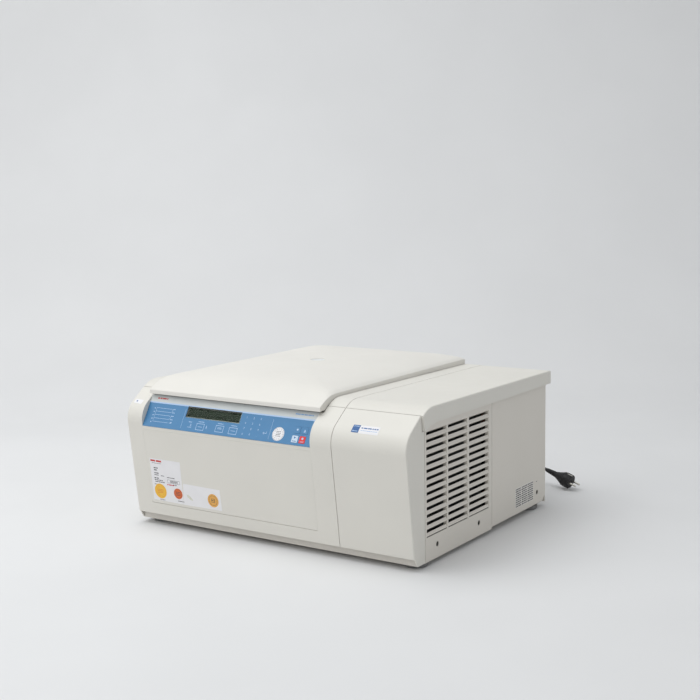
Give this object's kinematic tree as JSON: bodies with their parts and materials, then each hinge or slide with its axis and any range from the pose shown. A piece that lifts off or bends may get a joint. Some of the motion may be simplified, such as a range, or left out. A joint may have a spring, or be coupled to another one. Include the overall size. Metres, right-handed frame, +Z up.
{
  "type": "laboratory centrifuge",
  "caption": "Refrigerated bench centrifuge with swing-out buckets in a steel chamber, hinged and locking lid, membrane control panel, side air grille and mains lead.",
  "frame": {"origin": "on the bench under the middle of the casing, at the soles of the feet", "axes": "+X to the right seen from the front, +Y to the rear, +Z up"},
  "size_m": [0.7487, 0.8136, 0.354],
  "materials": {
    "cream_plastic": "fine textured light grey paint",
    "cream_sheet": "fine textured light grey paint",
    "lid_paint": "satin moulded",
    "black_rubber": "matt",
    "grey_rubber": "matt",
    "blue_membrane": "satin printed foil",
    "start_foil": "satin printed foil",
    "stop_foil": "satin printed foil",
    "clear_window": "clear",
    "lcd_glass": "gloss",
    "circuit_green": "solder mask",
    "stainless": "drawn and brushed",
    "steel": "plated",
    "cast_rotor": "anodised",
    "bucket_anodised": "anodised",
    "black_paint": "satin",
    "motor_cast": "as cast",
    "copper_tube": "drawn",
    "fin_aluminium": "rolled",
    "black_plastic": "matt",
    "foam": "foamed",
    "screw_dark": "blackened",
    "pin_plated": "nickel plated",
    "cord_jacket": "matt jacket"
  },
  "bodies": {
    "housing": {"base_pan": "cream_sheet", "rubber_feet": "grey_rubber", "front_fascia": "cream_plastic", "front_insert": "cream_plastic", "right_front_cover": "cream_plastic", "keypad_membrane": "blue_membrane", "display_window": "clear_window", "lcd_module": "lcd_glass", "display_board": "circuit_green", "chamber_deck": "cream_plastic", "right_top_cover": "cream_plastic", "side_grille": "cream_sheet", "right_side_panel": "cream_sheet", "left_side_panel": "cream_sheet", "rear_panel": "cream_sheet", "panel_screws": "screw_dark", "partition_wall": "steel", "chamber_bowl": "stainless", "chamber_insulation": "foam", "armour_ring": "steel", "lid_seal": "grey_rubber", "rubber_dampers": "black_rubber", "motor_housing": "motor_cast", "compressor": "black_paint", "condenser": "fin_aluminium", "refrigerant_pipes": "copper_tube", "fan_shroud": "steel", "fan_motor": "black_plastic", "drive_inverter": "fin_aluminium", "mains_switch": "black_plastic", "hinge_brackets": "steel", "hinge_shaft": "steel", "torsion_springs": "steel", "lock_blocks": "steel", "cord_gland": "black_rubber", "mains_cord": "cord_jacket", "mains_cord_coil": "cord_jacket", "mains_plug": "black_rubber", "plug_pins": "pin_plated"},
    "lid": {"lid_shell": "lid_paint", "lid_liner": "stainless", "lid_window": "clear_window", "lid_hinge_arms": "steel", "lid_hooks": "steel"},
    "rotor": {"rotor_shaft": "steel", "rotor_cross": "cast_rotor", "rotor_nut": "steel"},
    "bucket_a": {"bucket_1": "bucket_anodised"},
    "bucket_b": {"bucket_2": "bucket_anodised"},
    "bucket_c": {"bucket_3": "bucket_anodised"},
    "bucket_d": {"bucket_4": "bucket_anodised"},
    "fan": {"fan_rotor": "black_plastic"},
    "bolt_left": {"lock_bolt_left": "steel"},
    "bolt_right": {"lock_bolt_right": "steel"},
    "rocker": {"switch_rocker": "black_plastic"},
    "key_start": {"start_key": "start_foil"},
    "key_stop": {"stop_key": "stop_foil"},
    "key_pulse": {"pulse_key": "blue_membrane"},
    "key_lid": {"lid_key": "blue_membrane"}
  },
  "joints": [
    {"name": "lid_hinge", "type": "hinge", "parent": "housing", "child": "lid", "pos_m": [-0.09125, 0.311, 0.322], "axis": [-1, 0, 0], "range_deg": [0, 75]},
    {"name": "rotor_spin", "type": "hinge", "parent": "housing", "child": "rotor", "pos_m": [-0.09125, 0.0305, 0.219], "axis": [0, 0, 1], "continuous": true},
    {"name": "bucket_a_swing", "type": "hinge", "parent": "rotor", "child": "bucket_a", "pos_m": [-0.00325, 0.0305, 0.219], "axis": [0, -1, 0], "range_deg": [0, 90]},
    {"name": "bucket_b_swing", "type": "hinge", "parent": "rotor", "child": "bucket_b", "pos_m": [-0.09125, 0.1185, 0.219], "axis": [1, 0, 0], "range_deg": [0, 90]},
    {"name": "bucket_c_swing", "type": "hinge", "parent": "rotor", "child": "bucket_c", "pos_m": [-0.17925, 0.0305, 0.219], "axis": [0, 1, 0], "range_deg": [0, 90]},
    {"name": "bucket_d_swing", "type": "hinge", "parent": "rotor", "child": "bucket_d", "pos_m": [-0.09125, -0.0575, 0.219], "axis": [-1, 0, 0], "range_deg": [0, 90]},
    {"name": "fan_spin", "type": "hinge", "parent": "housing", "child": "fan", "pos_m": [0.298, -0.11, 0.156], "axis": [1, 0, 0], "continuous": true},
    {"name": "bolt_left_slide", "type": "slide", "parent": "housing", "child": "bolt_left", "axis": [1, 0, 0], "range_m": [0, 0.012]},
    {"name": "bolt_right_slide", "type": "slide", "parent": "housing", "child": "bolt_right", "axis": [-1, 0, 0], "range_m": [0, 0.012]},
    {"name": "switch_rock", "type": "hinge", "parent": "housing", "child": "rocker", "pos_m": [0.3, 0.3015, 0.104], "axis": [1, 0, 0], "range_deg": [-12, 0]},
    {"name": "start_key_press", "type": "slide", "parent": "housing", "child": "key_start", "axis": [0, 0.8666, -0.499], "range_m": [0, 0.0005], "stiffness_N_per_m": 2000},
    {"name": "stop_key_press", "type": "slide", "parent": "housing", "child": "key_stop", "axis": [0, 0.8666, -0.499], "range_m": [0, 0.0005], "stiffness_N_per_m": 2000},
    {"name": "pulse_key_press", "type": "slide", "parent": "housing", "child": "key_pulse", "axis": [0, 0.8666, -0.499], "range_m": [0, 0.0005], "stiffness_N_per_m": 2000},
    {"name": "lid_key_press", "type": "slide", "parent": "housing", "child": "key_lid", "axis": [0, 0.8666, -0.499], "range_m": [0, 0.0005], "stiffness_N_per_m": 2000}
  ],
  "couplings": [
    {"joint": "bolt_right_slide", "follows": "bolt_left_slide", "ratio": 1}
  ]
}
